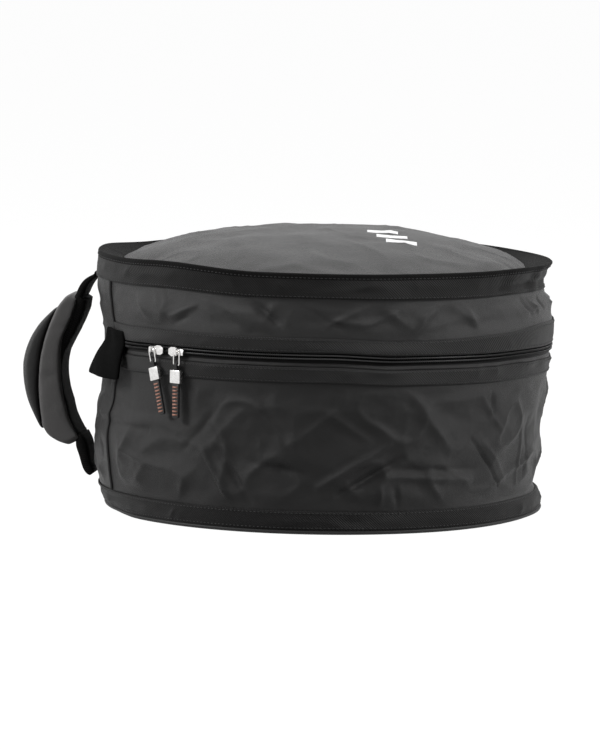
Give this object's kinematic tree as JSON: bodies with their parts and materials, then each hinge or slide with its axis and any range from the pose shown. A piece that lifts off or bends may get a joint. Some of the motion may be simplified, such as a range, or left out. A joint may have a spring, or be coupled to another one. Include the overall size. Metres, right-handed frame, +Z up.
{
  "type": "snare drum bag",
  "caption": "Round padded bag for a snare drum, with a hinged zip lid, two zip sliders with pulls, and a padded side handle.",
  "frame": {"origin": "middle of the round bottom, on the floor", "axes": "+Z up; -X towards the handle and the lid hinge; -Y towards the side where the zip sliders rest"},
  "size_m": [0.4716, 0.404, 0.2475],
  "materials": {
    "charcoal_cloth": "woven nylon, matt",
    "twill_band": "twill tape, matt",
    "black_webbing": "woven webbing, matt",
    "black_plush": "brushed loop cloth, matt",
    "foam": "closed foam, matt",
    "lining_cloth": "smooth nylon, satin",
    "zip_nylon": "satin nylon",
    "silver_metal": "polished nickel plate",
    "moulded_rubber": "satin moulded rubber"
  },
  "bodies": {
    "base": {"bottom_panel": "charcoal_cloth", "bottom_padding": "foam", "base_side_panel": "charcoal_cloth", "hinge_panel_lower": "charcoal_cloth", "base_side_padding": "foam", "base_lining": "lining_cloth", "bottom_band": "twill_band", "bottom_piping": "black_webbing", "seam_piping_lower_front": "black_webbing", "seam_piping_lower_rear": "black_webbing", "zip_tape_lower": "zip_nylon", "zip_coil_lower": "zip_nylon", "zip_band_lower": "twill_band", "zip_stop_front": "silver_metal", "zip_stop_rear": "silver_metal", "zip_tab_front": "black_plush", "zip_tab_rear": "black_plush", "handle_lower_anchor": "black_webbing"},
    "lid": {"lid_side_panel": "charcoal_cloth", "hinge_panel_upper": "charcoal_cloth", "lid_side_padding": "foam", "lid_top_panel": "charcoal_cloth", "lid_top_padding": "foam", "lid_lining": "lining_cloth", "top_edge_band": "charcoal_cloth", "rim_inner_band": "charcoal_cloth", "rim_binding": "charcoal_cloth", "seam_piping_upper_front": "black_webbing", "seam_piping_upper_rear": "black_webbing", "zip_tape_upper": "zip_nylon", "zip_coil_upper": "zip_nylon", "zip_band_upper": "twill_band", "handle_upper_strap": "black_webbing"},
    "grip": {"handle_webbing": "black_webbing", "grip_pad": "charcoal_cloth", "grip_flap": "twill_band"},
    "lower_strap": {"handle_lower_strap": "black_webbing"},
    "front_slider": {"front_slider": "silver_metal"},
    "front_link": {"front_link": "silver_metal"},
    "front_pull": {"front_pull_loop": "black_webbing", "front_pull_ferrule": "silver_metal", "front_pull_strap": "moulded_rubber"},
    "rear_slider": {"rear_slider": "silver_metal"},
    "rear_link": {"rear_link": "silver_metal"},
    "rear_pull": {"rear_pull_loop": "black_webbing", "rear_pull_ferrule": "silver_metal", "rear_pull_strap": "moulded_rubber"}
  },
  "joints": [
    {"name": "lid_hinge", "type": "hinge", "parent": "base", "child": "lid", "pos_m": [-0.2005, 0, 0.1515], "axis": [0, -1, 0], "range_deg": [0, 90]},
    {"name": "grip_hinge", "type": "hinge", "parent": "lid", "child": "grip", "pos_m": [-0.22, 0, 0.1825], "axis": [0, -1, 0], "range_deg": [-90, 0]},
    {"name": "lower_strap_hinge", "type": "hinge", "parent": "base", "child": "lower_strap", "pos_m": [-0.19821, 0, 0.0275], "axis": [0, -1, 0], "range_deg": [0, 90]},
    {"name": "front_slider_run", "type": "hinge", "parent": "base", "child": "front_slider", "pos_m": [0, 0, 0.1515], "axis": [0, 0, 1], "range_deg": [-11.5, 0]},
    {"name": "front_link_lift", "type": "hinge", "parent": "front_slider", "child": "front_link", "pos_m": [-0.12758, -0.16099, 0.1515], "axis": [-0.7714, 0.5813, -0.2588], "range_deg": [0, 120]},
    {"name": "front_pull_lift", "type": "hinge", "parent": "front_link", "child": "front_pull", "pos_m": [-0.12526, -0.16273, 0.14068], "axis": [-0.7714, 0.5813, -0.2588], "range_deg": [0, 60]},
    {"name": "rear_slider_run", "type": "hinge", "parent": "base", "child": "rear_slider", "pos_m": [0, 0, 0.1515], "axis": [0, 0, 1], "range_deg": [0, 259.1]},
    {"name": "rear_link_lift", "type": "hinge", "parent": "rear_slider", "child": "rear_link", "pos_m": [-0.10281, -0.17777, 0.1515], "axis": [-0.8607, 0.509, 0], "range_deg": [0, 120]},
    {"name": "rear_pull_lift", "type": "hinge", "parent": "rear_link", "child": "rear_pull", "pos_m": [-0.10281, -0.17777, 0.1403], "axis": [-0.8607, 0.509, 0], "range_deg": [0, 60]}
  ],
  "couplings": [
    {"joint": "grip_hinge", "follows": "lid_hinge", "ratio": -1},
    {"joint": "lower_strap_hinge", "follows": "lid_hinge", "ratio": 1}
  ]
}
